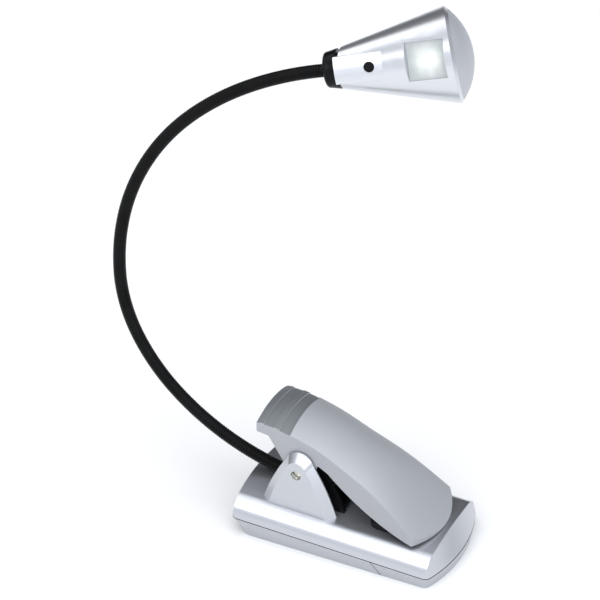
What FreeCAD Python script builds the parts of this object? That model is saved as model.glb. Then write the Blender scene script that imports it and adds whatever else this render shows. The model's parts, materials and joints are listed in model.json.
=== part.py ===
"""Clip-on reading lamp: a spring clip that holds three AAA cells, a flexible neck and an LED head.

Millimetres. +X runs from the thumb end of the clip to its jaw, +Y to the clip's left, +Z up.
The origin is the middle of the flat underside of the clip.
"""
import FreeCAD, Part
import math
import os
from FreeCAD import Vector

# ---- clip base -----------------------------------------------------------------------------------
WEDGE_DEG = 2.0              # the base is this much lower at the jaw end
HALF_WIDTH = 22.0
SEAM_Z = 6.0                 # height of the seam at x = 0, measured square to the sloping seam
CORNER_R = 7.0               # long rounded shoulders of the top housing
SHOULDER_SLOPE_DEG = 6.5     # slope of the crowned top where it meets a shoulder
WALL = 1.5
SEAM_GAP = 0.35
TOP_Z = 14.2                 # just over the crown
BOTTOM_Z = -1.5              # just under the flat underside at the jaw end
# end outlines: (height, corner x and middle x of the thumb end, of the jaw end, half width)
SEAM_OUTLINE = (SEAM_Z, -37.7, -40.5, 37.4, 41.8, HALF_WIDTH)
TOP_OUTLINE = (TOP_Z, -36.6, -38.4, 35.9, 36.5, HALF_WIDTH)
BOTTOM_OUTLINE = (BOTTOM_Z, -32.8, -35.3, 36.7, 40.9, 20.2)
PLAN_CORNER_R = 2.5
SPLIT_SEAM_X = 15.7          # slanted joint between battery door and nose cover
SPLIT_FLOOR_X = 20.0
SPLIT_GAP = 0.35

# ---- ears, pin and clip lever --------------------------------------------------------------------
PIVOT = Vector(-14.9, 0, 29.0)
EAR_INNER_Y = 12.85
EAR_OUTER_Y = 16.5
PIN_R = 1.8
PIN_HOLE_R = 1.85
PIN_HALF_LENGTH = 14.5
LEVER_WALL = 1.8
LEVER_BOTTOM_Z = 8.0         # the lever is lofted down to here and trimmed to its side profile
# lever sections: x, height of the long edge, rise of the crown over it, half width at edge and skirt
LEVER_SECTIONS = (
    (-33.0, 43.6, 2.2, 12.4, 12.4),
    (-25.0, 43.8, 2.4, 12.4, 12.4),
    (-18.0, 42.2, 2.7, 12.5, 12.5),
    (-10.0, 39.7, 3.0, 12.5, 12.5),
    (0.0, 35.0, 3.3, 12.9, 13.0),
    (10.0, 30.0, 3.3, 13.8, 14.3),
    (20.0, 23.6, 3.0, 15.1, 15.8),
    (28.0, 17.2, 2.6, 16.5, 17.0),
    (37.0, 10.0, 2.2, 18.0, 18.3),
)
THUMB_END_X = -32.0
THUMB_SOLID_X = -28.0        # the thumb end is solid up to here
JAW_TIP_X = 29.3             # jaw corners
JAW_MID_X = 35.2             # middle of the rounded jaw end
JAW_EDGE_Z = 13.05
GROOVES = ((-29.1, -25.4), (-23.1, -19.3))
GROOVE_DEPTH = 0.6
GROOVE_FROM_Z = 41.0

# ---- pads ----------------------------------------------------------------------------------------
LOWER_PAD_X = (10.8, 27.0)
LOWER_PAD_HALF = 12.8
LOWER_PAD_TOP = 15.4
UPPER_PAD_X = (12.0, 24.5)
UPPER_PAD_HALF = 11.0
PAD_GAP = 0.3
UPPER_PAD_THICK = 2.2

# ---- cells ---------------------------------------------------------------------------------------
CELL_R = 5.1                 # AAA
CELL_LENGTH = 43.0
CELL_NUB = (1.75, 1.2)       # radius and length
CELL_PITCH = 10.4
CELL_Z = 6.75
CELL_X = -30.7
CONTACT_THICK = 0.3
SPRING_LENGTH = 1.8
LEAF_THICK = 0.25
LEAF_HALF = 1.6

# ---- neck ----------------------------------------------------------------------------------------
NECK_R = 2.05
BALL_CLEARANCE = 0.06
NECK_GROOVE_GAP = 0.5        # between the neck and the groove it lies over in the top housing
NECK_GROOVE_LENGTH = 9.0
NECK_START = Vector(-25.0, 0, 16.5)
NECK_HEADING_DEG = 170.5     # start direction in the XZ plane, from +X towards +Z
LINK_LENGTH = 25.2
LINK_BENDS_DEG = (16.0, 17.0, 21.0, 24.5, 15.5, 17.0, 18.0, 15.5, 13.0)
LOWER_LINKS = 4              # links that lie in the clip's own middle plane
UPPER_TURN_DEG = 12.5        # the upper links lie in a plane turned this much about the vertical
FERRULE_R = 2.6
FERRULE_LENGTH = 8.0
BOSS_R = 4.6
LEAD_SLOT = (-17.6, -13.0, 4.2, 11.5, 15.4)   # x from, x to, half width, z from, z to

# ---- head (own frame: x along the head, z out of the window) -------------------------------------
HEAD_TURN_DEG = 17.5
HEAD_RISE_DEG = 12.6
HEAD_ROLL_DEG = 66.5         # the window faces this far from straight up, towards -Y
HEAD_GAP = 1.0               # from the last neck joint to the collar
COLLAR_LENGTH = 4.9
COLLAR_NOSE_R = 4.7
CONE_R = 6.8                 # at the collar
RIM_R = 16.2
RIM_X = 43.0
DOME_R = 22.5
DOME_CENTRE = Vector(27.4, -1.0, 3.0)
HEAD_WALL = 1.4
TONGUE_R = 10.8
TONGUE_HALF = 4.5
TONGUE_X = 4.95
WINDOW_X = (28.8, 42.8)
WINDOW_HALF = 6.35
LENS_DEPTH = 2.0             # below the crown line of the cone
LENS_THICK = 1.0
FIT_GAP = 0.05
BUTTON_X = 16.7
BUTTON_R = 1.7
BUTTON_HOLE_R = 1.8
BUTTON_TOP = 11.1
BUTTON_FLANGE_Z = (6.4, 7.1)
BUTTON_FLANGE_R = 2.3
SWITCH_TOP = 5.4
REFLECTOR_TOP = -3.1         # in the window's frame, below the crown line of the cone
REFLECTOR_LOW = -8.6
CAP_FROM_X = 30.0            # the end cap lies wholly beyond this
LEAD_R = 0.45
LEAD_GAP = 0.3               # between the end of a lead and the part it is soldered to

X_AXIS = Vector(1, 0, 0)
Y_AXIS = Vector(0, 1, 0)
Z_AXIS = Vector(0, 0, 1)


# ---- helpers -------------------------------------------------------------------------------------
def line(a, b):
    return Part.LineSegment(a, b).toShape()


def arc(a, b, c):
    return Part.Arc(a, b, c).toShape()


def box(x0, x1, y0, y1, z0, z1):
    return Part.makeBox(x1 - x0, y1 - y0, z1 - z0, Vector(x0, y0, z0))


def rod(start, end, radius):
    along = end - start
    return Part.makeCylinder(radius, along.Length, start, along)


def both_sides(shape):
    """The shape and its mirror image across the middle plane."""
    return [shape, shape.mirror(Vector(0, 0, 0), Y_AXIS)]


def prism_y(points, y0, y1):
    """A polygon of (x, z) points, extruded from y0 to y1."""
    corners = [Vector(x, y0, z) for x, z in points]
    face = Part.Face(Part.makePolygon(corners + [corners[0]]))
    return face.extrude(Vector(0, y1 - y0, 0))


def fuse(shapes):
    return shapes[0].multiFuse(shapes[1:]).removeSplitter()


def group(shapes):
    return Part.makeCompound(shapes)


def save(name, shape):
    shape.exportStep("parts/" + name + ".step")


def tilt(shape):
    """From the sloping frame of the base to the part's frame."""
    turned = shape.copy()
    turned.rotate(Vector(0, 0, 0), Y_AXIS, WEDGE_DEG)
    return turned


# ---- base shells ---------------------------------------------------------------------------------
def outline_wire(outline, inset):
    z, left, left_mid, right, right_mid, half = outline
    half = half - inset
    left, left_mid = left + inset, left_mid + inset
    right, right_mid = right - inset, right_mid - inset
    near_left, near_right = Vector(left, -half, z), Vector(right, -half, z)
    far_right, far_left = Vector(right, half, z), Vector(left, half, z)
    return Part.Wire([
        line(near_left, near_right),
        arc(near_right, Vector(right_mid, 0, z), far_right),
        line(far_right, far_left),
        arc(far_left, Vector(left_mid, 0, z), near_left),
    ])


def outline_loft(low, high, inset):
    solid = Part.makeLoft([outline_wire(low, inset), outline_wire(high, inset)], True, True)
    corners = [e for e in solid.Edges
               if abs(e.Vertexes[0].Z - e.Vertexes[-1].Z) > 1.0]
    return solid.makeFillet(max(PLAN_CORNER_R - inset, 0.8), corners)


def vault(inset):
    """The crowned section of the base, from below its floor to its crown."""
    slope = math.radians(SHOULDER_SLOPE_DEG)
    radius = CORNER_R - inset
    side = HALF_WIDTH - inset
    centre_y = HALF_WIDTH - CORNER_R
    top_y = centre_y + radius * math.sin(slope)
    top_z = SEAM_Z + radius * math.cos(slope)
    crown_z = top_z + top_y * math.tan(slope / 2)
    middle = math.radians(45 - SHOULDER_SLOPE_DEG / 2)
    mid_y = centre_y + radius * math.cos(middle)
    mid_z = SEAM_Z + radius * math.sin(middle)
    x = -60.0
    floor_z = -20.0

    def at(y, z):
        return Vector(x, y, z)

    wire = Part.Wire([
        line(at(-side, floor_z), at(-side, SEAM_Z)),
        arc(at(-side, SEAM_Z), at(-mid_y, mid_z), at(-top_y, top_z)),
        arc(at(-top_y, top_z), at(0, crown_z), at(top_y, top_z)),
        arc(at(top_y, top_z), at(mid_y, mid_z), at(side, SEAM_Z)),
        line(at(side, SEAM_Z), at(side, floor_z)),
        line(at(side, floor_z), at(-side, floor_z)),
    ])
    return Part.Face(wire).extrude(Vector(120, 0, 0))


def upper_body(inset):
    return tilt(outline_loft(SEAM_OUTLINE, TOP_OUTLINE, inset).common(vault(inset)))


def ear():
    """One ear, outer side bevelled all round, standing on the side at -Y."""
    def face_wire(y, left, right, foot_z, apex_z, apex_half):
        shoulder_z = apex_z - apex_half * 0.75
        foot_left, foot_right = Vector(left, y, foot_z), Vector(right, y, foot_z)
        top_left = Vector(PIVOT.x - apex_half, y, shoulder_z)
        top_right = Vector(PIVOT.x + apex_half, y, shoulder_z)
        bow = 0.9
        left_mid = (foot_left + top_left) * 0.5 + Vector(-bow, 0, bow / 2)
        right_mid = (foot_right + top_right) * 0.5 + Vector(bow, 0, bow / 2)
        return Part.Wire([
            line(foot_left, foot_right),
            arc(foot_right, right_mid, top_right),
            arc(top_right, Vector(PIVOT.x, y, apex_z), top_left),
            arc(top_left, left_mid, foot_left),
        ])

    foot_z = 9.0
    inner = face_wire(-EAR_INNER_Y, -30.2, 0.6, foot_z, 36.8, 5.2)
    shoulder = face_wire(-EAR_INNER_Y - 0.6, -30.2, 0.6, foot_z, 36.8, 5.2)
    outer = face_wire(-EAR_OUTER_Y, -26.6, -3.0, foot_z, 34.3, 3.6)
    plate = Part.makeLoft([inner, shoulder], True, True)
    bevel = Part.makeLoft([shoulder, outer], True, True)
    return plate.fuse(bevel).removeSplitter()


def neck_boss():
    """The raised socket between the ears that holds the neck's ferrule."""
    start, back = ferrule_ends()
    front = start + (back - start) * 0.15
    rear = back + (back - start) * 0.9
    tube = rod(front, rear, BOSS_R)
    foot = box(front.x + 1.5, rear.x, -BOSS_R, BOSS_R, 8.0, front.z - 1.5)
    return tube.fuse(foot)


def top_housing():
    solid = fuse([upper_body(0.0)] + both_sides(ear()) + [neck_boss()])
    solid = solid.cut(upper_body(WALL).fuse(box(-50, 50, -30, 30, -5, SEAM_Z - 2.0)))
    seam = tilt(box(-60, 60, -40, 40, -20, SEAM_Z + SEAM_GAP / 2))
    solid = solid.cut(seam)
    start, back = ferrule_ends()
    solid = solid.cut(rod(start, back, FERRULE_R + FIT_GAP))
    groove_end = start + heading(NECK_HEADING_DEG, 0.0) * NECK_GROOVE_LENGTH
    solid = solid.cut(rod(start, groove_end, NECK_R + NECK_GROOVE_GAP))
    slot_x0, slot_x1, slot_half, slot_z0, slot_z1 = LEAD_SLOT
    solid = solid.cut(box(slot_x0, slot_x1, -slot_half, slot_half, slot_z0, slot_z1))
    pin_hole = rod(Vector(PIVOT.x, -30, PIVOT.z), Vector(PIVOT.x, 30, PIVOT.z), PIN_HOLE_R)
    solid = solid.cut(pin_hole)
    bosses = [rod(Vector(x, y, 3.4), Vector(x, y, 12.0), 2.4).cut(rod(Vector(x, y, 0), Vector(x, y, 9.4), 1.0))
              for x, y in screw_places()]
    bosses = [b.common(upper_body(0.5).fuse(box(-50, 50, -30, 30, -5, SEAM_Z))) for b in bosses]
    return fuse([solid] + bosses)


def lower_body(inset):
    lowest, highest = BOTTOM_OUTLINE, SEAM_OUTLINE
    solid = tilt(outline_loft(lowest, highest, inset))
    return solid.cut(box(-60, 60, -40, 40, -20, inset))


def lower_shell():
    seam = tilt(box(-60, 60, -40, 40, SEAM_Z - SEAM_GAP / 2, 40))
    return lower_body(0.0).cut(lower_body(WALL - 0.3)).cut(seam)


def split_block(offset):
    """Everything on the thumb side of the slanted joint, moved along X by the offset."""
    slope = (SPLIT_FLOOR_X - SPLIT_SEAM_X) / SEAM_Z
    low_x = SPLIT_FLOOR_X + slope * 5 + offset
    high_x = SPLIT_SEAM_X - slope * 9 + offset
    return prism_y([(-80, -5), (low_x, -5), (high_x, SEAM_Z + 9), (-80, SEAM_Z + 9)], -40, 40)


def screw_places():
    return [(31.0, 12.0), (31.0, -12.0)]


def nose_cover():
    solid = lower_shell().cut(split_block(SPLIT_GAP / 2))
    for x, y in screw_places():
        solid = solid.fuse(rod(Vector(x, y, 0), Vector(x, y, 3.3), 3.4))
        solid = solid.cut(rod(Vector(x, y, 0), Vector(x, y, 1.8), 2.3))
        solid = solid.cut(rod(Vector(x, y, 0), Vector(x, y, 4), 1.3))
    return solid.removeSplitter()


def battery_door():
    solid = lower_shell().common(split_block(-SPLIT_GAP / 2))
    ridges = [box(-30 + 2.4 * k, -29 + 2.4 * k, -7, 7, -1, 0.4) for k in range(5)]
    return solid.cut(group(ridges))


def housing_screws():
    screws = []
    for x, y in screw_places():
        head = rod(Vector(x, y, 0.5), Vector(x, y, 1.8), 2.1)
        shank = rod(Vector(x, y, 1.8), Vector(x, y, 9.0), 0.95)
        slot = box(x - 1.2, x + 1.2, y - 0.25, y + 0.25, 0, 1.1)
        cross = box(x - 0.25, x + 0.25, y - 1.2, y + 1.2, 0, 1.1)
        screws.append(head.fuse(shank).cut(slot).cut(cross).removeSplitter())
    return group(screws)


# ---- cells and contacts --------------------------------------------------------------------------
def cell_rows():
    """(y, points towards +X) of each cell: neighbours point opposite ways."""
    return [(CELL_PITCH * (k - 1), k % 2 == 0) for k in range(3)]


def cell_end_x():
    return CELL_X + CELL_LENGTH + CELL_NUB[1]


def cells():
    solids = []
    nub_r, nub_length = CELL_NUB
    for y, forward in cell_rows():
        body_x = CELL_X if forward else CELL_X + nub_length
        nub_x = body_x + CELL_LENGTH if forward else CELL_X
        body = Part.makeCylinder(CELL_R, CELL_LENGTH, Vector(body_x, y, CELL_Z), X_AXIS)
        body = body.makeFillet(0.5, [e for e in body.Edges if isinstance(e.Curve, Part.Circle)])
        nub = Part.makeCylinder(nub_r, nub_length, Vector(nub_x, y, CELL_Z), X_AXIS)
        solids.append(body.fuse(nub))
    return solids


def coil(centre, axis, radius, wire_r, pitch, turns):
    """A helical spring along the axis, starting at the centre."""
    helix = Part.makeHelix(pitch, pitch * turns, radius)
    section = Part.Wire(Part.makeCircle(wire_r, Vector(radius, 0, 0), Vector(0, 1, pitch / (6.283 * radius))))
    spring = Part.Wire(helix.Edges).makePipeShell([section], True, True)
    spring.Placement = FreeCAD.Placement(centre, FreeCAD.Rotation(Z_AXIS, axis))
    return spring


def contact_springs():
    """Bent leaf springs against the flat ends of the cells."""
    springs = []
    for y, forward in cell_rows():
        foot_x = CELL_X - SPRING_LENGTH if forward else cell_end_x() + SPRING_LENGTH
        outward = 1 if forward else -1
        tip_x = foot_x + outward * (SPRING_LENGTH - 0.05)
        inner_x = tip_x - outward * LEAF_THICK
        profile = [(foot_x, -3.1), (tip_x, -0.7), (tip_x, 0.7), (foot_x, 3.1),
                   (foot_x, 2.75), (inner_x, 0.55), (inner_x, -0.55), (foot_x, -2.75)]
        raised = [(x, CELL_Z + z) for x, z in profile]
        springs.append(prism_y(raised, y - LEAF_HALF, y + LEAF_HALF))
    return springs


def battery_tray():
    low_x = CELL_X - SPRING_LENGTH - CONTACT_THICK
    high_x = cell_end_x() + SPRING_LENGTH + CONTACT_THICK
    rail_y = CELL_PITCH + CELL_R + 0.3
    ends = [box(low_x - 0.9, low_x, -rail_y - 1, rail_y + 1, 3.4, 10.2),
            box(high_x, high_x + 0.9, -rail_y - 1, rail_y + 1, 3.4, 10.2)]
    rails = both_sides(box(low_x - 0.9, high_x + 0.9, rail_y, rail_y + 1, 3.4, 8.5))
    return fuse(ends + rails)


def contact_plates():
    low_x = CELL_X - SPRING_LENGTH - CONTACT_THICK
    high_x = cell_end_x() + SPRING_LENGTH
    plates = []
    for x in (low_x, high_x):
        for y, _ in cell_rows():
            plates.append(box(x, x + CONTACT_THICK, y - 4.4, y + 4.4, CELL_Z - 3.2, CELL_Z + 3.2))
    return plates


def pressed_contacts():
    """The domed spots that meet the cells' nubs, one per cell."""
    spots = []
    for y, forward in cell_rows():
        length = SPRING_LENGTH
        x = cell_end_x() if forward else CELL_X - SPRING_LENGTH
        spots.append(Part.makeCylinder(1.4, length, Vector(x, y, CELL_Z), X_AXIS))
    return spots


# ---- lever ---------------------------------------------------------------------------------------
def lever_section(section, inset, drop):
    """One section, shrunk all round by the inset; a drop lowers its top and widens it by as much."""
    x, edge_z, rise, half, skirt_half = section
    half, skirt_half = half - inset + drop, skirt_half - inset + drop
    edge_z = edge_z - inset - drop
    low_near, low_far = Vector(x, -skirt_half, LEVER_BOTTOM_Z), Vector(x, skirt_half, LEVER_BOTTOM_Z)
    near, far = Vector(x, -half, edge_z), Vector(x, half, edge_z)
    return Part.Wire([
        line(low_far, low_near),
        line(low_near, near),
        arc(near, Vector(x, 0, edge_z + rise), far),
        line(far, low_far),
    ])


def lever_body(inset, drop=0.0):
    wires = [lever_section(section, inset, drop) for section in LEVER_SECTIONS
             if section[1] - inset - drop > LEVER_BOTTOM_Z]
    return Part.makeLoft(wires, True, False)


def lever_side_profile():
    """What is kept of the lever as seen from the side, as a solid as wide as the lever."""
    y = -25.0

    def at(x, z):
        return Vector(x, y, z)

    lobe = 5.2
    notch = (PIVOT.x + 6.6, 32.6)
    edges = [
        line(at(THUMB_END_X, 50), at(THUMB_END_X, 40.2)),
        line(at(THUMB_END_X, 40.2), at(-27.4, 39.6)),
        line(at(-27.4, 39.6), at(PIVOT.x - lobe, PIVOT.z - 0.8)),
        arc(at(PIVOT.x - lobe, PIVOT.z - 0.8), at(PIVOT.x, PIVOT.z - lobe), at(PIVOT.x + lobe, PIVOT.z + 0.6)),
        line(at(PIVOT.x + lobe, PIVOT.z + 0.6), at(*notch)),
        line(at(*notch), at(-4.5, 30.5)),
        arc(at(-4.5, 30.5), at(9.6, 20.3), at(JAW_TIP_X, JAW_EDGE_Z)),
        line(at(JAW_TIP_X, JAW_EDGE_Z), at(40, JAW_EDGE_Z)),
        line(at(40, JAW_EDGE_Z), at(40, 50)),
        line(at(40, 50), at(THUMB_END_X, 50)),
    ]
    return Part.Face(Part.Wire(edges)).extrude(Vector(0, 50, 0))


def jaw_plan(inset):
    """The lever seen from above: everything behind its rounded jaw end."""
    tip, middle, side = JAW_TIP_X - inset, JAW_MID_X - inset, 17.0
    wire = Part.Wire([
        line(Vector(-40, -30, 0), Vector(tip - 13 * 0.9, -30, 0)),
        line(Vector(tip - 13 * 0.9, -30, 0), Vector(tip, -side, 0)),
        arc(Vector(tip, -side, 0), Vector(middle, 0, 0), Vector(tip, side, 0)),
        line(Vector(tip, side, 0), Vector(tip - 13 * 0.9, 30, 0)),
        line(Vector(tip - 13 * 0.9, 30, 0), Vector(-40, 30, 0)),
        line(Vector(-40, 30, 0), Vector(-40, -30, 0)),
    ])
    return Part.Face(wire).extrude(Vector(0, 0, 60))


def clip_lever():
    outer = lever_body(0.0)
    hollow = lever_body(LEVER_WALL).common(box(THUMB_SOLID_X, 60, -30, 30, 0, 60)).common(jaw_plan(LEVER_WALL))
    solid = outer.cut(hollow).common(jaw_plan(0.0))
    ribs = [box(UPPER_PAD_X[0], UPPER_PAD_X[1] - 1, y - 0.8, y + 0.8, upper_pad_top(), 45).common(outer)
            for y in (-7.0, 7.0)]
    solid = fuse([solid] + ribs)
    solid = solid.common(lever_side_profile())
    lowered = lever_body(0.0, GROOVE_DEPTH)
    for start, end in GROOVES:
        solid = solid.cut(box(start, end, -30, 30, GROOVE_FROM_Z, 50).cut(lowered))
    hole = rod(Vector(PIVOT.x, -30, PIVOT.z), Vector(PIVOT.x, 30, PIVOT.z), PIN_HOLE_R)
    return solid.cut(hole).removeSplitter()


def upper_pad_top():
    return LOWER_PAD_TOP + PAD_GAP + UPPER_PAD_THICK


def upper_jaw_pad():
    x0, x1 = UPPER_PAD_X
    slab = box(x0, x1, -UPPER_PAD_HALF, UPPER_PAD_HALF, LOWER_PAD_TOP + PAD_GAP, upper_pad_top())
    return slab.makeFillet(1.0, [e for e in slab.Edges if abs(e.Vertexes[0].Z - e.Vertexes[1].Z) > 1])


def lower_jaw_pad():
    x0, x1 = LOWER_PAD_X
    slab = box(x0, x1, -LOWER_PAD_HALF, LOWER_PAD_HALF, 8, LOWER_PAD_TOP)
    slab = slab.makeFillet(4.0, [e for e in slab.Edges if abs(e.Vertexes[0].Z - e.Vertexes[1].Z) > 1])
    slab = slab.makeFillet(0.8, [e for e in slab.Edges
                                 if all(v.Z > LOWER_PAD_TOP - 0.01 for v in e.Vertexes)])
    return slab.cut(upper_body(0.0))


# ---- pivot pin, spring and inner bracket ---------------------------------------------------------
def pivot_pin():
    pin = rod(Vector(PIVOT.x, -PIN_HALF_LENGTH, PIVOT.z), Vector(PIVOT.x, PIN_HALF_LENGTH, PIVOT.z), PIN_R)
    return pin.makeChamfer(0.3, [e for e in pin.Edges if e.Length < 12 and isinstance(e.Curve, Part.Circle)])


def spring_bracket():
    """Black cradle that carries the torsion spring: two cheeks on the pin, joined by a foot."""
    inner_y, outer_y = 8.6, 10.4
    profile = [(-20.0, 12.0), (1.2, 12.0), (0.4, 15.6), (-6.0, 26.6), (-10.4, 33.2), (-14.9, 34.2), (-19.4, 31.5)]
    cheeks = both_sides(prism_y(profile, -outer_y, -inner_y))
    foot = box(-7.5, 0.2, -outer_y, outer_y, 12.0, 16.0)
    solid = fuse(cheeks + [foot]).cut(upper_body(0.0))
    hole = rod(Vector(PIVOT.x, -30, PIVOT.z), Vector(PIVOT.x, 30, PIVOT.z), PIN_HOLE_R)
    return solid.cut(hole)


def torsion_spring():
    wire_r = 0.6
    radius = 3.2
    turns = 6
    pitch = 1.5
    half = pitch * turns / 2
    turned = coil(Vector(PIVOT.x, -half, PIVOT.z), Y_AXIS, radius, wire_r, pitch, turns)
    down = rod(Vector(PIVOT.x + radius, half, PIVOT.z), Vector(PIVOT.x + radius + 4.5, half, 16.6), wire_r)
    up = rod(Vector(PIVOT.x + radius, -half, PIVOT.z), Vector(PIVOT.x + radius - 1.0, -half, 38.0), wire_r)
    return fuse([turned, down, up])


# ---- neck ----------------------------------------------------------------------------------------
def heading(degrees, turn_degrees):
    """Unit vector at an angle above +X, in the XZ plane turned about the vertical."""
    a, t = math.radians(degrees), math.radians(turn_degrees)
    return Vector(math.cos(a) * math.cos(t), math.cos(a) * math.sin(t), math.sin(a))


def neck_arcs():
    """(start, middle, end, start direction) of the arc that each link follows."""
    arcs = []
    start = NECK_START
    angle = NECK_HEADING_DEG
    for index, bend in enumerate(LINK_BENDS_DEG):
        turn = 0.0 if index < LOWER_LINKS else UPPER_TURN_DEG
        half = math.radians(bend) / 2
        chord = LINK_LENGTH * math.sin(half) / half
        half_chord = LINK_LENGTH * math.sin(half / 2) / half
        end = start + heading(angle - bend / 2, turn) * chord
        middle = start + heading(angle - bend / 4, turn) * half_chord
        arcs.append((start, middle, end, heading(angle, turn)))
        start = end
        angle = angle - bend
    return arcs


def ferrule_ends():
    back = heading(NECK_HEADING_DEG, 0.0) * -FERRULE_LENGTH
    return NECK_START, NECK_START + back


def ball_pocket(centre):
    return Part.makeSphere(NECK_R + BALL_CLEARANCE, centre)


def neck_ferrule():
    start, back = ferrule_ends()
    setback = math.sqrt((NECK_R + BALL_CLEARANCE) ** 2 - NECK_R ** 2)
    mouth = start + (back - start) * (setback / FERRULE_LENGTH)
    return rod(mouth, back, FERRULE_R).cut(ball_pocket(start))


def neck_link(start, middle, end, direction):
    """One stretch of neck: a ball at its start and a socket for the next ball at its end."""
    path = Part.Wire([arc(start, middle, end)])
    section = Part.Wire(Part.makeCircle(NECK_R, start, direction))
    tube = path.makePipeShell([section], True, True)
    ball = Part.makeSphere(NECK_R, start)
    behind = rod(start, start - direction * (NECK_R + 1), NECK_R + 1)
    return tube.fuse(ball.common(behind)).cut(ball_pocket(end))


# ---- head ----------------------------------------------------------------------------------------
def head_placement():
    """Moves the head's own frame to the end of the neck."""
    rise, turn = math.radians(HEAD_RISE_DEG), math.radians(HEAD_TURN_DEG)
    roll = math.radians(HEAD_ROLL_DEG)
    along = heading(HEAD_RISE_DEG, HEAD_TURN_DEG)
    upward = Vector(-math.sin(rise) * math.cos(turn), -math.sin(rise) * math.sin(turn), math.cos(rise))
    sideways = along.cross(upward)
    out = upward * math.cos(roll) + sideways * math.sin(roll)
    rotation = FreeCAD.Rotation(along, out.cross(along), out, "XZY")
    return FreeCAD.Placement(neck_arcs()[-1][2] + along * HEAD_GAP, rotation)


def place_head(shape):
    placed = shape.copy()
    placed.Placement = head_placement().multiply(placed.Placement)
    return placed


def cone_slope():
    return (RIM_R - CONE_R) / (RIM_X - COLLAR_LENGTH)


def cone_r(x):
    return CONE_R + (x - COLLAR_LENGTH) * cone_slope()


def cone(inset):
    x0, x1 = COLLAR_LENGTH, 55.0
    return Part.makeCone(cone_r(x0) - inset, cone_r(x1) - inset, x1 - x0, Vector(x0, 0, 0), X_AXIS)


def dome(inset):
    return Part.makeSphere(DOME_R - inset, DOME_CENTRE)


def window_frame():
    """Placement of the window: x along the cone's surface, z out of it, at the cone's crown line."""
    middle = (WINDOW_X[0] + WINDOW_X[1]) / 2
    angle = -math.degrees(math.atan(cone_slope()))
    return FreeCAD.Placement(Vector(middle, 0, cone_r(middle)), FreeCAD.Rotation(Y_AXIS, angle))


def window_box(grow, z0, z1):
    half_length = (WINDOW_X[1] - WINDOW_X[0]) / 2 + grow
    half_width = WINDOW_HALF + grow
    block = box(-half_length, half_length, -half_width, half_width, z0, z1)
    block.Placement = window_frame()
    return block


def tongue():
    bar = Part.makeCylinder(TONGUE_R, 30.0, Vector(TONGUE_X, 0, 0), X_AXIS)
    return bar.common(box(TONGUE_X, 30, -TONGUE_HALF, TONGUE_HALF, 3, 20))


def head_shell():
    wall = cone(0.0).common(dome(0.0)).fuse(tongue())
    wall = wall.cut(cone(HEAD_WALL)).removeSplitter()
    frame = window_box(1.1, -4.2, 1.0).common(cone(0.0)).common(dome(2.0))
    wall = wall.fuse(frame)
    wall = wall.cut(window_box(0.0, -9.0, 6.0))
    hole = rod(Vector(BUTTON_X, 0, 0), Vector(BUTTON_X, 0, 20), BUTTON_HOLE_R)
    return wall.cut(hole).removeSplitter()


def head_end_cap():
    """Domed end, let into the mouth of the cone."""
    beyond = box(CAP_FROM_X, 60, -30, 30, -30, 30)
    disc = cone(HEAD_WALL + FIT_GAP).common(dome(0.0)).cut(dome(HEAD_WALL + 0.4)).common(beyond)
    ring_outer = dome(HEAD_WALL + 0.4).cut(dome(HEAD_WALL + 2.4)).common(cone(HEAD_WALL + FIT_GAP))
    ring = ring_outer.cut(cone(HEAD_WALL + 1.2)).common(beyond)
    keep_off = window_box(1.6, -14.0, 6.0)
    return disc.fuse(ring.cut(keep_off)).cut(window_box(1.15, -14.0, 6.0)).removeSplitter()


def head_collar():
    spigot_r = CONE_R - HEAD_WALL - FIT_GAP
    spigot_x = COLLAR_LENGTH + 3.0
    bore = NECK_R + FIT_GAP

    def at(x, r):
        return Vector(x, 0, r)

    shoulder = 1.5
    wire = Part.Wire([
        line(at(0, bore), at(0, COLLAR_NOSE_R)),
        arc(at(0, COLLAR_NOSE_R), at(0.4, COLLAR_NOSE_R + 0.95), at(shoulder, COLLAR_NOSE_R + 1.35)),
        line(at(shoulder, COLLAR_NOSE_R + 1.35), at(COLLAR_LENGTH - FIT_GAP, CONE_R)),
        line(at(COLLAR_LENGTH - FIT_GAP, CONE_R), at(COLLAR_LENGTH - FIT_GAP, spigot_r)),
        line(at(COLLAR_LENGTH - FIT_GAP, spigot_r), at(spigot_x, spigot_r)),
        line(at(spigot_x, spigot_r), at(spigot_x, bore)),
        line(at(spigot_x, bore), at(0, bore)),
    ])
    return Part.Face(wire).revolve(Vector(0, 0, 0), X_AXIS, 360)


def head_stub():
    """End fitting of the neck: a ball in the last link's socket and a stem in the collar."""
    centre = Vector(-HEAD_GAP, 0, 0)
    stem = rod(centre, Vector(COLLAR_LENGTH + 4.0, 0, 0), NECK_R)
    ball = Part.makeSphere(NECK_R, centre)
    behind = rod(centre, centre - X_AXIS * (NECK_R + 1), NECK_R + 1)
    return stem.fuse(ball.common(behind)).removeSplitter()


def window_lens():
    return window_box(-FIT_GAP, -LENS_DEPTH - LENS_THICK, -LENS_DEPTH)


def frustum(half_x, half_y, z_top, small_x, small_y, z_low):
    def ring(hx, hy, z):
        corners = [Vector(-hx, -hy, z), Vector(hx, -hy, z), Vector(hx, hy, z), Vector(-hx, hy, z)]
        return Part.makePolygon(corners + [corners[0]])
    return Part.makeLoft([ring(small_x, small_y, z_low), ring(half_x, half_y, z_top)], True, True)


def reflector():
    outer = frustum(6.8, 6.2, REFLECTOR_TOP, 3.9, 3.9, REFLECTOR_LOW)
    inner = frustum(6.1, 5.5, REFLECTOR_TOP + 0.01, 2.9, 2.9, REFLECTOR_LOW - 0.01)
    bowl = outer.cut(inner)
    bowl.Placement = window_frame()
    return bowl


def led_board():
    plate = box(-5.0, 5.0, -4.8, 4.8, REFLECTOR_LOW - 1.1, REFLECTOR_LOW - 0.1)
    plate.Placement = window_frame()
    return plate


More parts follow.
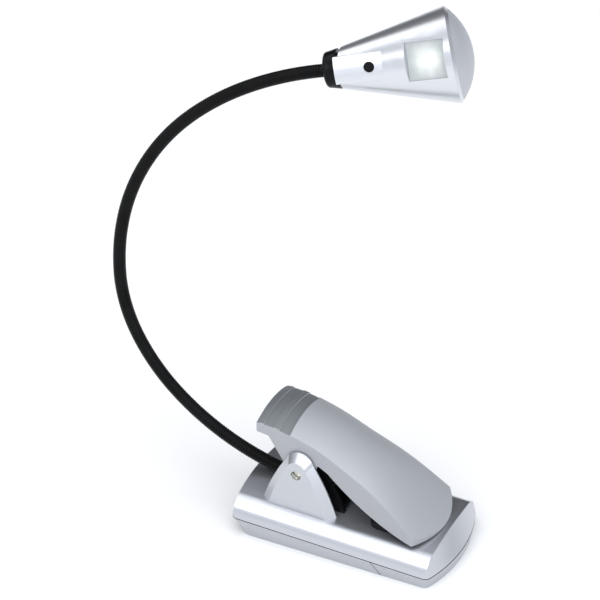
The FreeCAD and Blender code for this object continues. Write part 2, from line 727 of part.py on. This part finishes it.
def led():
    base = Part.makeCylinder(2.5, 1.2, Vector(0, 0, REFLECTOR_LOW - 0.1))
    bulb = Part.makeSphere(2.3, Vector(0, 0, REFLECTOR_LOW + 1.1))
    lamp = base.fuse(bulb.common(box(-3, 3, -3, 3, REFLECTOR_LOW + 0.5, REFLECTOR_LOW + 5))).removeSplitter()
    lamp.Placement = window_frame()
    return lamp


def switch_button():
    stem = rod(Vector(BUTTON_X, 0, BUTTON_FLANGE_Z[0]), Vector(BUTTON_X, 0, BUTTON_TOP), BUTTON_R)
    stem = stem.makeFillet(0.35, [e for e in stem.Edges if all(v.Z > BUTTON_TOP - 0.01 for v in e.Vertexes)])
    flange = rod(Vector(BUTTON_X, 0, BUTTON_FLANGE_Z[0]), Vector(BUTTON_X, 0, BUTTON_FLANGE_Z[1]), BUTTON_FLANGE_R)
    return stem.fuse(flange).removeSplitter()


def switch_body():
    case = box(BUTTON_X - 3.5, BUTTON_X + 3.5, -3.2, 3.2, 1.5, SWITCH_TOP - 0.7)
    plunger = rod(Vector(BUTTON_X, 0, SWITCH_TOP - 1.0), Vector(BUTTON_X, 0, SWITCH_TOP), 1.2)
    return case.fuse(plunger).removeSplitter()


def head_leads():
    """Two insulated wires: neck to switch, and switch to LED board."""
    stub_end = COLLAR_LENGTH + 4.0 + LEAD_GAP
    case_start, case_end = BUTTON_X - 3.5 - LEAD_GAP, BUTTON_X + 3.5 + LEAD_GAP
    board = window_frame().multVec(Vector(-5.0 - LEAD_GAP, 0, REFLECTOR_LOW - 0.6))
    leads = []
    for y in (-0.9, 0.9):
        leads.append(rod(Vector(stub_end, y, 0), Vector(case_start, y, 2.6), LEAD_R))
        leads.append(rod(Vector(case_end, y, 3.2), Vector(board.x, y, board.z), LEAD_R))
    return leads


def base_leads():
    """Two insulated wires from the contacts to the back of the neck's ferrule."""
    back = ferrule_ends()[1]
    end_x = cell_end_x() + SPRING_LENGTH + CONTACT_THICK + 0.9
    leads = []
    for y in (-1.0, 1.0):
        valley_y = y * CELL_PITCH / 2
        route = [
            Vector(back.x + 0.5, y, back.z - 0.4),
            Vector(back.x + 2.6, y * 3.7, 12.3),
            Vector(back.x + 5.1, valley_y, 11.6),
            Vector(end_x + 1.6, valley_y, 11.0),
            Vector(end_x + 1.6, valley_y, 8.2),
        ]
        runs = [rod(a, b, LEAD_R) for a, b in zip(route, route[1:])]
        knees = [Part.makeSphere(LEAD_R, p) for p in route[1:-1]]
        leads.append(fuse(runs + knees))
    return leads


# ---- build ---------------------------------------------------------------------------------------
os.makedirs("parts", exist_ok=True)

save("top_housing", top_housing())
save("nose_cover", nose_cover())
save("battery_door", battery_door())
save("housing_screws", housing_screws())
save("battery_tray", tilt(battery_tray()))
save("battery_cells", tilt(group(cells())))
save("contact_plates", tilt(group(contact_plates())))
save("contact_springs", tilt(group(contact_springs())))
save("contact_spots", tilt(group(pressed_contacts())))
save("base_leads", group(base_leads()))
save("lower_jaw_pad", lower_jaw_pad())
save("spring_bracket", spring_bracket())
save("pivot_pin", pivot_pin())
save("torsion_spring", torsion_spring())
save("clip_lever", clip_lever())
save("upper_jaw_pad", upper_jaw_pad())
save("neck_ferrule", neck_ferrule())
for number, parameters in enumerate(neck_arcs(), start=1):
    save("neck_link_" + str(number), neck_link(*parameters))
    print("joint", number, [round(v, 3) for v in parameters[0]], [round(v, 4) for v in parameters[3]])

save("head_stub", place_head(head_stub()))
save("head_collar", place_head(head_collar()))
save("head_shell", place_head(head_shell()))
save("head_end_cap", place_head(head_end_cap()))
save("window_lens", place_head(window_lens()))
save("reflector", place_head(reflector()))
save("led_board", place_head(led_board()))
save("led", place_head(led()))
save("switch_body", place_head(switch_body()))
save("switch_button", place_head(switch_button()))
save("head_leads", place_head(group(head_leads())))
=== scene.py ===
"""Looks of the clip-on reading lamp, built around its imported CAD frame. Metres, +Z up."""
import bmesh
import bpy
import json
import math
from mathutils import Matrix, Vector


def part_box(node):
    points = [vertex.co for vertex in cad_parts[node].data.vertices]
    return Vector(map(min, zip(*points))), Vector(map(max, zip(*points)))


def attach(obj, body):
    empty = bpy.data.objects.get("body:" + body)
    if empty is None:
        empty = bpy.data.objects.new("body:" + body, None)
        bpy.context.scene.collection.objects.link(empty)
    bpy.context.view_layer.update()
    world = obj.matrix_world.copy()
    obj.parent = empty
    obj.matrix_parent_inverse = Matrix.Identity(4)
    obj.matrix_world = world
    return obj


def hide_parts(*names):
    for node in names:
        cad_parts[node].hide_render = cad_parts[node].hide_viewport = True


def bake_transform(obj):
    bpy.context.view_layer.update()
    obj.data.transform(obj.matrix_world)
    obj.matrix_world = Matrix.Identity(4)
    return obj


MM = 0.001
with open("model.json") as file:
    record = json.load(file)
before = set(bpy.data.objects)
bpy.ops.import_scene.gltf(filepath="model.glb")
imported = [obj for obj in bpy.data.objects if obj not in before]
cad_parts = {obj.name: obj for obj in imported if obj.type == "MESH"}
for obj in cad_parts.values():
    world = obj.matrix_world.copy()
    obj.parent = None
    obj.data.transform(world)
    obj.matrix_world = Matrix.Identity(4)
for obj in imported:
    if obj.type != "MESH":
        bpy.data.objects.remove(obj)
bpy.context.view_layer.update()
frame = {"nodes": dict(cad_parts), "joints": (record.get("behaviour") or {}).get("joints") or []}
nodes = frame["nodes"]

# ---- camera and light ----------------------------------------------------------------------------
CAMERA_PLACE = Vector((0.3449, -0.7682, 0.6571))
CAMERA_TARGET = Vector((-0.0211, 0.0, 0.0907))
CAMERA_LENS = 180.0
CAMERA_SENSOR = 36.0

FLOOR_HALF = 20.0
FLOOR_COLOR = (0.86, 0.855, 0.84)
WALL_DIRECTION = (-0.6, 0.8, 0.0)
# brightness of the room from its front (0) round to the dark wall behind (1), and by height
ROOM_STOPS = ((0.0, 1.2), (0.22, 0.9), (0.45, 0.36), (0.62, 0.44), (0.76, 0.30), (0.87, 0.02))
CEILING_STOPS = ((0.50, 1.0), (0.85, 2.2))
BACKDROP = (0.68, 0.69, 0.71)        # what shows above the floor in level views

# name, place, target, size and power in watts of each soft light
LIGHTS = (
    ("key", (-0.5, -1.2, 1.1), (0, 0, 0.06), (0.9, 0.7), 4.6),
    ("top", (0.0, -0.15, 1.5), (0, -0.15, 0.0), (1.6, 1.4), 7.6),
    ("side", (-1.3, 0.2, 1.05), (0, 0, 0.1), (0.8, 0.6), 2.6),
    ("fill", (1.3, -0.7, 0.7), (0, 0, 0.06), (0.7, 0.7), 2.6),
)

# ---- neck sleeve sizes ---------------------------------------------------------------------------
NECK_START_DEG = 170.5       # the neck leaves its socket at this angle above +X
SLEEVE_RADIUS = 2.28 * MM
RING_PITCH = 0.95 * MM
RING_DEPTH = 0.20 * MM
RING_PROFILE = (0.0, 0.07, 0.2, 0.4, 0.6, 0.8, 0.93)
SLEEVE_SIDES = 32
PIECE_OVERLAP = 0.1 * RING_PITCH
SOCKET_DEPTH = 0.45 * MM     # how far the sleeve goes into the clip
COLLAR_NECK = 0.5 * MM       # where the sleeve starts to narrow past the last joint
COLLAR_DEPTH = 1.2 * MM      # how far it goes into the collar

# ---- lever and rounded edges ---------------------------------------------------------------------
# this x also ends the painted shade on the top faces of the lever's grip
GRIP_END_X = -18.9 * MM      # the ribbed grip bands of the lever end here
# node, piece that stands for it, body, radius of its rounded edges
ROUNDED = (
    ("spring_bracket", "bracket_frame", "base", 0.3 * MM),
    ("clip_lever", "lever_shell", "lever", 0.4 * MM),
    ("upper_jaw_pad", "upper_pad", "lever", 0.35 * MM),
    ("head_collar", "head_ring", "head", 0.25 * MM),
)
ROUNDING_STEPS = 3
ROUNDING_FROM_DEG = 32       # only edges sharper than this are rounded
MERGE_DISTANCE = 0.002 * MM
FLAT_WITHIN_DEG = 0.05

# ---- colours -------------------------------------------------------------------------------------
# near-black for faces along Z: partly bare plastic, partly painted shade in the seams between the shells
BARE_PLASTIC_AND_SEAM_SHADE = (0.035, 0.037, 0.042)
# painted shade: darker grey for the top faces of the lever's ribbed grip
GRIP_BAND_SHADE = (0.165, 0.176, 0.182)


# ---- materials -----------------------------------------------------------------------------------
def new_material(name, color, metallic=0.0, roughness=0.5, coat=0.0, coat_roughness=0.1):
    material = bpy.data.materials.new(name)
    material.use_nodes = True
    shader = material.node_tree.nodes["Principled BSDF"]
    shader.inputs["Base Color"].default_value = (*color, 1.0)
    shader.inputs["Metallic"].default_value = metallic
    shader.inputs["Roughness"].default_value = roughness
    shader.inputs["Coat Weight"].default_value = coat
    shader.inputs["Coat Roughness"].default_value = coat_roughness
    return material, shader


def add_node(material, kind, **values):
    node = material.node_tree.nodes.new(kind)
    for name, value in values.items():
        node.inputs[name].default_value = value
    return node


def object_noise(material, scale, detail=2.0, roughness=0.5):
    """Noise fixed to the object's own coordinates."""
    place = add_node(material, "ShaderNodeTexCoord")
    noise = add_node(material, "ShaderNodeTexNoise", Scale=scale, Detail=detail, Roughness=roughness)
    material.node_tree.links.new(place.outputs["Object"], noise.inputs["Vector"])
    return noise.outputs["Fac"]


def ramp(material, factor, low, high, start=0.35, end=0.65):
    """A colour that runs from low to high as the factor goes from start to end."""
    node = add_node(material, "ShaderNodeValToRGB")
    node.color_ramp.elements[0].position = start
    node.color_ramp.elements[0].color = (*low, 1.0)
    node.color_ramp.elements[1].position = end
    node.color_ramp.elements[1].color = (*high, 1.0)
    material.node_tree.links.new(factor, node.inputs["Fac"])
    return node.outputs["Color"]


def spread(material, factor, low, high):
    """A number that runs from low to high with the factor."""
    node = add_node(material, "ShaderNodeMapRange")
    node.inputs["To Min"].default_value = low
    node.inputs["To Max"].default_value = high
    material.node_tree.links.new(factor, node.inputs["Value"])
    return node.outputs["Result"]


def bump(material, shader, height, strength, distance):
    node = add_node(material, "ShaderNodeBump", Strength=strength, Distance=distance)
    material.node_tree.links.new(height, node.inputs["Height"])
    material.node_tree.links.new(node.outputs["Normal"], shader.inputs["Normal"])


def math_node(material, operation, first, second):
    """A Math node on one linked value and one fixed number, or on two linked values."""
    node = material.node_tree.nodes.new("ShaderNodeMath")
    node.operation = operation
    material.node_tree.links.new(first, node.inputs[0])
    if isinstance(second, float):
        node.inputs[1].default_value = second
    else:
        material.node_tree.links.new(second, node.inputs[1])
    return node.outputs["Value"]


def mix_color(material, factor, first, second):
    """The first colour where the factor is 0 and the second where it is 1."""
    node = material.node_tree.nodes.new("ShaderNodeMix")
    node.data_type = "RGBA"
    material.node_tree.links.new(factor, node.inputs["Factor"])
    material.node_tree.links.new(first, node.inputs[6])
    node.inputs[7].default_value = (*second, 1.0)
    return node.outputs[2]


def facing(material, direction, limit):
    """1 on faces whose normal points along Z (direction 1) or against it (-1), elsewhere 0."""
    geometry = material.node_tree.nodes.new("ShaderNodeNewGeometry")
    split = material.node_tree.nodes.new("ShaderNodeSeparateXYZ")
    material.node_tree.links.new(geometry.outputs["Normal"], split.inputs["Vector"])
    along = math_node(material, "MULTIPLY", split.outputs["Z"], float(direction))
    return math_node(material, "GREATER_THAN", along, limit)


def painted_share(material, bare_and_shaded):
    """1 where there is paint, 0 on the bare faces and on the seams painted with shade."""
    node = material.node_tree.nodes.new("ShaderNodeMath")
    node.operation = "SUBTRACT"
    node.inputs[0].default_value = 1.0
    material.node_tree.links.new(bare_and_shaded, node.inputs[1])
    return node.outputs["Value"]


def silver_paint(name, color, metallic, roughness, coat, flake=0.004, bare_and_shaded_side=0, shaded_bands=None):
    """Silver paint on plastic: fine metal flakes, slight orange peel and uneven gloss.

    bare_and_shaded_side: faces that point this way along Z turn near-black: partly moulded edges that the
    paint doesn't reach, partly painted shade in the seams between the shells.
    shaded_bands: (x, colour) of painted shade on the top faces with a lower x, over the lever's ribbed
    grip.
    """
    material, shader = new_material(name, color, metallic, roughness, coat, 0.12)
    links = material.node_tree.links
    flakes = object_noise(material, 3000.0, 1.0)
    dark = [max(c - flake, 0.0) for c in color]
    light = [min(c + flake, 1.0) for c in color]
    paint = ramp(material, flakes, dark, light)
    # painted shade in the seams: faces along Z turn near-black and lose their metal, partly as bare
    # plastic
    if bare_and_shaded_side:
        bare_and_shaded = facing(material, bare_and_shaded_side, 0.5)
        paint = mix_color(material, bare_and_shaded, paint, BARE_PLASTIC_AND_SEAM_SHADE)
        metal = math_node(material, "SUBTRACT", painted_share(material, bare_and_shaded), 1.0 - metallic)
        links.new(metal, shader.inputs["Metallic"])
    # painted shade: top-facing faces of the lever's ribbed grip, below the grip's end in x, get the
    # darker grey
    if shaded_bands:
        place = add_node(material, "ShaderNodeTexCoord")
        split = material.node_tree.nodes.new("ShaderNodeSeparateXYZ")
        links.new(place.outputs["Object"], split.inputs["Vector"])
        behind = math_node(material, "LESS_THAN", split.outputs["X"], shaded_bands[0])
        on_top = facing(material, 1, 0.85)
        paint = mix_color(material, math_node(material, "MULTIPLY", behind, on_top), paint, shaded_bands[1])
    links.new(paint, shader.inputs["Base Color"])
    haze = object_noise(material, 25.0, 2.0)
    links.new(spread(material, haze, roughness - 0.012, roughness + 0.012), shader.inputs["Roughness"])
    bump(material, shader, object_noise(material, 200.0, 1.0), 0.003, 0.0002)
    return material


def moulded_plastic(name, color, roughness, grain=1500.0, grain_strength=0.15, coat=0.0, specular=0.5):
    """Moulded plastic with a fine spark-eroded grain and slight colour variation."""
    material, shader = new_material(name, color, 0.0, roughness, coat, 0.1)
    shader.inputs["Specular IOR Level"].default_value = specular
    links = material.node_tree.links
    cloud = object_noise(material, 120.0, 3.0)
    low = [c * 0.85 for c in color]
    high = [min(c * 1.2 + 0.002, 1.0) for c in color]
    links.new(ramp(material, cloud, low, high), shader.inputs["Base Color"])
    links.new(spread(material, cloud, roughness - 0.06, roughness + 0.06), shader.inputs["Roughness"])
    bump(material, shader, object_noise(material, grain, 2.0), grain_strength, 0.0001)
    return material


def plain_metal(name, color, roughness):
    """Plated metal with fine scratches in its gloss."""
    material, shader = new_material(name, color, 1.0, roughness)
    links = material.node_tree.links
    scratches = object_noise(material, 800.0, 6.0, 0.7)
    links.new(spread(material, scratches, roughness - 0.1, roughness + 0.12), shader.inputs["Roughness"])
    dark = [c * 0.88 for c in color]
    links.new(ramp(material, scratches, dark, color), shader.inputs["Base Color"])
    return material


def painted_glow_window(name, centre):
    """Frosted window with a painted glow: its own emission, brightest over the LED and fading towards its
    rim, stands in for the LED's light through it.
    """
    material, shader = new_material(name, (0.46, 0.49, 0.49), 0.0, 0.3)
    shader.inputs["Transmission Weight"].default_value = 0.2
    shader.inputs["IOR"].default_value = 1.46
    links = material.node_tree.links
    place = add_node(material, "ShaderNodeTexCoord")
    away = material.node_tree.nodes.new("ShaderNodeVectorMath")
    away.operation = "DISTANCE"
    links.new(place.outputs["Object"], away.inputs[0])
    away.inputs[1].default_value = centre
    near = add_node(material, "ShaderNodeMapRange")
    near.interpolation_type = "SMOOTHSTEP"
    near.inputs["From Min"].default_value = 0.8 * MM
    near.inputs["From Max"].default_value = 7.5 * MM
    near.inputs["To Min"].default_value = 1.0
    near.inputs["To Max"].default_value = 0.12
    cloud = spread(material, object_noise(material, 220.0, 2.0), -2.2 * MM, 2.2 * MM)
    links.new(math_node(material, "ADD", away.outputs["Value"], cloud), near.inputs["Value"])
    # painted glow: emission from a dim rim to near-white over the LED, spread by noise
    glow = ramp(material, near.outputs["Result"], (0.05, 0.06, 0.06), (1.0, 1.0, 0.93), 0.05, 1.0)
    links.new(glow, shader.inputs["Emission Color"])
    shader.inputs["Emission Strength"].default_value = 0.42
    bump(material, shader, object_noise(material, 250.0, 1.0), 0.03, 0.0002)
    return material


def lit_led(name):
    material, shader = new_material(name, (1.0, 1.0, 0.94), 0.0, 0.15)
    shader.inputs["Emission Color"].default_value = (1.0, 1.0, 0.93, 1.0)
    shader.inputs["Emission Strength"].default_value = 4.0
    links = material.node_tree.links
    cloud = object_noise(material, 400.0, 1.0)
    links.new(ramp(material, cloud, (0.96, 0.98, 0.9), (1.0, 1.0, 0.96)), shader.inputs["Base Color"])
    return material


# the housing's downward faces and the shells' upward faces carry the painted seam shade
SILVER = silver_paint("silver_gloss", (0.56, 0.572, 0.60), 0.88, 0.28, 0.0, bare_and_shaded_side=-1)
SHELL_SILVER = silver_paint("silver_shell", (0.49, 0.50, 0.53), 0.85, 0.30, 0.0, bare_and_shaded_side=1)
# the lever's ribbed grip gets painted shade on its top faces
LEVER_SILVER = silver_paint("silver_satin", (0.38, 0.388, 0.405), 0.25, 0.42, 0.0,
                            shaded_bands=(GRIP_END_X, GRIP_BAND_SHADE))
HEAD_SILVER = silver_paint("silver_head", (0.70, 0.712, 0.74), 0.88, 0.28, 0.0)
CAP_SILVER = silver_paint("silver_cap", (0.50, 0.51, 0.535), 0.5, 0.45, 0.0)
BLACK = moulded_plastic("black_plastic", (0.0036, 0.0038, 0.0045), 0.32, specular=0.13)
SLEEVE = moulded_plastic("black_sleeve", (0.0022, 0.0022, 0.0022), 0.28, 2500.0, 0.05, specular=0.10)
PAD = moulded_plastic("pad_rubber", (0.005, 0.005, 0.006), 0.5, 1800.0, 0.2, specular=0.12)
STEEL = plain_metal("zinc_steel", (0.62, 0.62, 0.64), 0.35)
NICKEL = plain_metal("nickel_plate", (0.75, 0.72, 0.66), 0.28)
PIN = plain_metal("pin_metal", (0.88, 0.85, 0.70), 0.3)
WRAP = moulded_plastic("cell_wrap", (0.10, 0.11, 0.13), 0.3, coat=0.5)
WIRE = moulded_plastic("wire_cover", (0.35, 0.04, 0.04), 0.45)
# the window carries a painted glow for the LED behind it
LENS = painted_glow_window("frosted_window", sum(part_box("window_lens"), Vector()) / 2)
BOWL = silver_paint("bright_bowl", (0.86, 0.87, 0.88), 0.35, 0.22, 0.3, 0.02)
BOARD = moulded_plastic("solder_mask", (0.80, 0.82, 0.80), 0.4)
GLOW = lit_led("led_glow")

NODE_MATERIALS = {
    SILVER: ("top_housing",),
    SHELL_SILVER: ("nose_cover", "battery_door"),
    LEVER_SILVER: ("clip_lever",),
    HEAD_SILVER: ("head_shell",),
    CAP_SILVER: ("head_end_cap",),
    BLACK: ("battery_tray", "spring_bracket", "neck_ferrule", "head_collar", "switch_body",
            "switch_button"),
    SLEEVE: ("head_stub",),
    PAD: ("lower_jaw_pad", "upper_jaw_pad"),
    STEEL: ("housing_screws", "torsion_spring"),
    NICKEL: ("contact_plates", "contact_springs", "contact_spots"),
    PIN: ("pivot_pin",),
    WRAP: ("battery_cells",),
    WIRE: ("base_leads", "head_leads"),
    LENS: ("window_lens",),
    BOWL: ("reflector",),
    BOARD: ("led_board",),
    GLOW: ("led",),
}

for finish, names in NODE_MATERIALS.items():
    for node_name in names:
        nodes[node_name].data.materials.clear()
        nodes[node_name].data.materials.append(finish)


# ---- rounded pieces ------------------------------------------------------------------------------
def rounded_piece(node_name, piece_name, body, radius):
    """A copy of a moulded node's mesh with its sharp edges rounded."""
    source = nodes[node_name]
    mesh = source.data.copy()
    mesh.name = piece_name
    if "custom_normal" in mesh.attributes:
        mesh.attributes.remove(mesh.attributes["custom_normal"])
    work = bmesh.new()
    work.from_mesh(mesh)
    bmesh.ops.remove_doubles(work, verts=work.verts, dist=MERGE_DISTANCE)
    flat = math.radians(FLAT_WITHIN_DEG)
    bmesh.ops.dissolve_limit(work, angle_limit=flat, verts=work.verts, edges=work.edges)
    for edge in work.edges:
        edge.smooth = True
    work.to_mesh(mesh)
    work.free()
    mesh.shade_smooth()
    piece = bpy.data.objects.new(piece_name, mesh)
    bpy.context.scene.collection.objects.link(piece)
    rounding = piece.modifiers.new("rounding", "BEVEL")
    rounding.width = radius
    rounding.segments = ROUNDING_STEPS
    rounding.limit_method = "ANGLE"
    rounding.angle_limit = math.radians(ROUNDING_FROM_DEG)
    rounding.use_clamp_overlap = True
    normals = piece.modifiers.new("normals", "WEIGHTED_NORMAL")
    normals.weight = 100
    normals.keep_sharp = False
    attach(piece, body)
    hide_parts(node_name)


for row in ROUNDED:
    rounded_piece(*row)


# ---- neck sleeve ---------------------------------------------------------------------------------
def neck_joints():
    """The joints along the neck, from the clip to the head."""
    return [j for j in frame["joints"] if j["name"].startswith(("neck_", "head_"))]


def neck_tangents(points):
    """Direction of the neck at each joint: each link is one arc, so its chord halves the turn."""
    angle = math.radians(NECK_START_DEG)
    tangents = [Vector((math.cos(angle), 0.0, math.sin(angle)))]
    for a, b in zip(points, points[1:]):
        chord = (b - a).normalized()
        tangents.append((chord * (2 * tangents[-1].dot(chord)) - tangents[-1]).normalized())
    return tangents


def arc_length(a, b, turn):
    """Length of the arc from a to b that turns by this angle."""
    return (b - a).length * (turn / 2) / math.sin(turn / 2)


def arc_place(a, b, start_tangent, end_tangent, part):
    """Point and direction at a part of the way along the arc from a to b."""
    turn = start_tangent.angle(end_tangent)
    length = arc_length(a, b, turn)
    along = start_tangent.slerp(end_tangent, part)
    if part < 1e-6:
        return a.copy(), along
    chord = length * math.sin(turn * part / 2) / (turn / 2)
    return a + start_tangent.slerp(end_tangent, part / 2) * chord, along


def tube_mesh(name, stations, sides):
    """A closed tube through (point, direction, radius) stations."""
    vertices = []
    side_way = stations[0][1].cross(Vector((0, 1, 0))).normalized()
    for point, along, radius in stations:
        side_way = (side_way - along * side_way.dot(along)).normalized()
        other_way = along.cross(side_way)
        for k in range(sides):
            angle = 2 * math.pi * k / sides
            vertices.append(point + (side_way * math.cos(angle) + other_way * math.sin(angle)) * radius)
    faces = []
    for row in range(len(stations) - 1):
        for k in range(sides):
            low, high = row * sides, (row + 1) * sides
            following = (k + 1) % sides
            faces.append((low + k, low + following, high + following, high + k))
    faces.append(tuple(reversed(range(sides))))
    last = (len(stations) - 1) * sides
    faces.append(tuple(range(last, last + sides)))
    mesh = bpy.data.meshes.new(name)
    mesh.from_pydata([tuple(v) for v in vertices], [], faces)
    mesh.shade_smooth()
    piece = bpy.data.objects.new(name, mesh)
    bpy.context.scene.collection.objects.link(piece)
    return piece


def ring_radius(distance):
    """Radius of the ringed sleeve: round rings side by side."""
    x = (distance / RING_PITCH) % 1.0
    return SLEEVE_RADIUS - RING_DEPTH * (1 - math.sqrt(max(1 - (2 * x - 1) ** 2, 0.0)))


def sleeve_stations(points, tangents):
    """Stations of the whole sleeve with their distance, and the distance of each joint."""
    lengths = []
    for k in range(len(points) - 1):
        turn = tangents[k].angle(tangents[k + 1])
        lengths.append(arc_length(points[k], points[k + 1], turn))
    joint_at = [sum(lengths[:k]) for k in range(len(points))]
    total = joint_at[-1]
    distances = []
    ring = 0
    while ring * RING_PITCH < total:
        distances += [(ring + x) * RING_PITCH for x in RING_PROFILE]
        ring += 1
    stations = []
    for distance in distances:
        if distance >= total:
            break
        link = max(k for k in range(len(lengths)) if joint_at[k] <= distance)
        part = (distance - joint_at[link]) / lengths[link]
        point, along = arc_place(points[link], points[link + 1], tangents[link], tangents[link + 1], part)
        stations.append((distance, point, along))
    return stations, joint_at, lengths


def head_direction():
    """Direction from the last neck joint to the middle of the collar."""
    low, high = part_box("head_collar")
    return ((low + high) / 2 - Vector(neck_joints()[-1]["pos_m"])).normalized()


def build_sleeve():
    joints = neck_joints()
    points = [Vector(j["pos_m"]) for j in joints]
    tangents = neck_tangents(points)
    stations, joint_at, lengths = sleeve_stations(points, tangents)
    cuts = [-1.0] + [joint_at[k] + lengths[k] / 2 for k in range(len(lengths))] + [joint_at[-1] + 1.0]
    for k, joint in enumerate(joints):
        low, high = cuts[k] - PIECE_OVERLAP, cuts[k + 1] + PIECE_OVERLAP
        inside = [station for station in stations if low <= station[0] <= high]
        rows = [(point, along, ring_radius(distance)) for distance, point, along in inside]
        if k == 0:
            inner_end = points[0] - tangents[0] * SOCKET_DEPTH
            rows.insert(0, (inner_end, tangents[0], SLEEVE_RADIUS - RING_DEPTH))
        if k == len(joints) - 1:
            stem = head_direction()
            rows.append((points[-1] + stem * COLLAR_NECK, stem, SLEEVE_RADIUS - RING_DEPTH / 2))
            rows.append((points[-1] + stem * COLLAR_DEPTH, stem, SLEEVE_RADIUS - RING_DEPTH))
        piece = tube_mesh("neck_sleeve_%d" % (k + 1), rows, SLEEVE_SIDES)
        piece.data.materials.append(SLEEVE)
        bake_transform(piece)
        if joint["child"].startswith("neck_"):
            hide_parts("neck_link_" + joint["child"].split("_")[1])


build_sleeve()


# ---- stage ---------------------------------------------------------------------------------------
def area_light(name, place, target, size, power):
    data = bpy.data.lights.new(name, "AREA")
    data.shape = "RECTANGLE"
    data.size, data.size_y = size
    data.energy = power
    lamp = bpy.data.objects.new(name, data)
    lamp.location = place
    lamp.rotation_euler = (Vector(target) - Vector(place)).to_track_quat("-Z", "Y").to_euler()
    bpy.context.scene.collection.objects.link(lamp)


def build_floor():
    corners = [(x * FLOOR_HALF, y * FLOOR_HALF, 0) for x, y in ((-1, -1), (1, -1), (1, 1), (-1, 1))]
    mesh = bpy.data.meshes.new("floor")
    mesh.from_pydata(corners, [], [(0, 1, 2, 3)])
    floor = bpy.data.objects.new("floor", mesh)
    bpy.context.scene.collection.objects.link(floor)
    material, _ = new_material("floor_paper", FLOOR_COLOR, 0.0, 0.9)
    floor.data.materials.append(material)


def world_ramp(tree, factor, stops):
    """A grey ramp through (position, brightness) stops, slightly blue."""
    node = tree.nodes.new("ShaderNodeValToRGB")
    node.color_ramp.interpolation = "EASE"
    ends = node.color_ramp.elements
    for element, (position, value) in ((ends[0], stops[0]), (ends[1], stops[-1])):
        element.position = position
        element.color = (value, value * 1.02, value * 1.06, 1.0)
    for position, value in stops[1:-1]:
        node.color_ramp.elements.new(position).color = (value, value * 1.02, value * 1.06, 1.0)
    tree.links.new(factor, node.inputs["Fac"])
    return node.outputs["Color"]


def build_world():
    """Pale studio, brighter in front and overhead, that reflects as a dark wall low behind the lamp."""
    world = bpy.data.worlds.new("studio")
    world.use_nodes = True
    tree = world.node_tree
    background = tree.nodes["Background"]
    background.inputs["Strength"].default_value = 1.0
    place = tree.nodes.new("ShaderNodeTexCoord")
    toward_wall = tree.nodes.new("ShaderNodeVectorMath")
    toward_wall.operation = "DOT_PRODUCT"
    toward_wall.inputs[1].default_value = WALL_DIRECTION
    around = tree.nodes.new("ShaderNodeMapRange")
    around.inputs["From Min"].default_value = -1.0
    split = tree.nodes.new("ShaderNodeSeparateXYZ")
    light = tree.nodes.new("ShaderNodeVectorMath")
    light.operation = "MULTIPLY"
    links = tree.links
    links.new(place.outputs["Generated"], toward_wall.inputs[0])
    links.new(toward_wall.outputs["Value"], around.inputs["Value"])
    links.new(place.outputs["Generated"], split.inputs["Vector"])
    links.new(world_ramp(tree, around.outputs["Result"], ROOM_STOPS), light.inputs[0])
    links.new(world_ramp(tree, split.outputs["Z"], CEILING_STOPS), light.inputs[1])
    seen = tree.nodes.new("ShaderNodeLightPath")
    shown = tree.nodes.new("ShaderNodeMix")
    shown.data_type = "RGBA"
    shown.inputs[7].default_value = (*BACKDROP, 1.0)
    links.new(seen.outputs["Is Camera Ray"], shown.inputs["Factor"])
    links.new(light.outputs["Vector"], shown.inputs[6])
    links.new(shown.outputs[2], background.inputs["Color"])
    bpy.context.scene.world = world


def build_camera():
    data = bpy.data.cameras.new("camera")
    data.lens = CAMERA_LENS
    data.sensor_width = CAMERA_SENSOR
    data.clip_start = 0.01
    camera = bpy.data.objects.new("camera", data)
    camera.location = CAMERA_PLACE
    camera.rotation_euler = (CAMERA_TARGET - CAMERA_PLACE).to_track_quat("-Z", "Y").to_euler()
    bpy.context.scene.collection.objects.link(camera)
    bpy.context.scene.camera = camera


bpy.context.scene.view_settings.view_transform = "Standard"
build_floor()
build_world()
build_camera()
for row in LIGHTS:
    area_light(*row)
